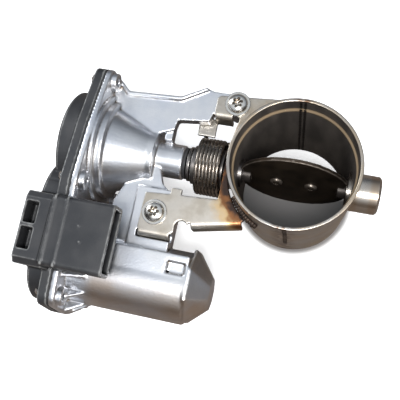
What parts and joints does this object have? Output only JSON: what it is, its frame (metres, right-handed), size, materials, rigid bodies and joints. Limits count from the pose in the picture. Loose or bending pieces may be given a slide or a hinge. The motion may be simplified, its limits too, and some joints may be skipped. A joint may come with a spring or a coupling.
{
  "type": "throttle body",
  "caption": "Motor-driven throttle: a butterfly flap in a welded steel tube, carried by a bracket on a cast gear actuator with a plastic gear cover and plug socket.",
  "frame": {"origin": "centre of the tube's mouth, in the plane of its rim", "axes": "+Z along the tube's axis, out of the mouth; +X along the flap's shaft, from the actuator to the bearing cap; the motor lies on the -Y side"},
  "size_m": [0.1583, 0.1243, 0.0776],
  "materials": {
    "tube_steel": "rolled stainless sheet, slightly dull",
    "weld": "rough weld bead with brown heat tint",
    "bracket_steel": "pressed sheet, satin",
    "screw_steel": "bright zinc plated",
    "turned_steel": "turned, fine rings",
    "flap_steel": "dark, sooty sheet",
    "spring_steel": "dark oiled spring wire",
    "casting": "blasted die casting",
    "black_rubber": "matt",
    "bearing_steel": "ground",
    "gear_plastic": "natural, lightly greased",
    "magnet": "sintered",
    "circuit_board": "solder resist",
    "motor_steel": "drawn, zinc plated",
    "brass": "machined",
    "cover_plastic": "glass filled, dark grey, finely grained"
  },
  "bodies": {
    "frame": {"tube_shell_left": "tube_steel", "tube_shell_right": "tube_steel", "seam_welds": "weld", "bracket": "bracket_steel", "bracket_weld": "weld", "bracket_screws": "screw_steel", "shaft_bush": "turned_steel", "bearing_cap": "turned_steel", "cap_bush": "bearing_steel", "coupling_spring": "spring_steel", "gear_housing": "casting", "nose_ring": "black_rubber", "needle_bearing": "bearing_steel", "ball_bearing": "bearing_steel", "shaft_seal": "black_rubber", "return_spring": "spring_steel", "sensor_board": "circuit_board", "idler_pin": "bearing_steel", "drive_motor": "motor_steel", "motor_plate": "motor_steel", "motor_plate_screws": "screw_steel", "motor_wave_washer": "spring_steel", "housing_gasket": "black_rubber", "gear_cover": "cover_plastic", "connector_pins": "brass", "cover_screws": "screw_steel"},
    "valve": {"valve_shaft": "turned_steel", "flap_plate": "flap_steel", "flap_screws": "screw_steel", "driven_hub": "turned_steel"},
    "output": {"output_shaft": "turned_steel", "drive_disc": "turned_steel", "sector_gear": "gear_plastic", "sensor_magnet": "magnet"},
    "idler": {"idler_gear": "gear_plastic"},
    "rotor": {"motor_shaft": "bearing_steel", "motor_pinion": "brass"}
  },
  "joints": [
    {"name": "valve_turn", "type": "hinge", "parent": "frame", "child": "valve", "pos_m": [0, 0, -0.037], "axis": [-1, 0, 0], "range_deg": [0, 82]},
    {"name": "output_turn", "type": "hinge", "parent": "frame", "child": "output", "pos_m": [-0.1, 0, -0.037], "axis": [-1, 0, 0], "range_deg": [0, 82]},
    {"name": "idler_turn", "type": "hinge", "parent": "frame", "child": "idler", "pos_m": [-0.108, -0.0345, -0.037], "axis": [-1, 0, 0], "range_deg": [-176, 0]},
    {"name": "motor_turn", "type": "hinge", "parent": "frame", "child": "rotor", "pos_m": [-0.1, -0.0617, -0.037], "axis": [-1, 0, 0], "range_deg": [0, 676]}
  ],
  "couplings": [
    {"joint": "output_turn", "follows": "valve_turn", "ratio": 1},
    {"joint": "idler_turn", "follows": "valve_turn", "ratio": -2.1364},
    {"joint": "motor_turn", "follows": "valve_turn", "ratio": 8.2403}
  ]
}
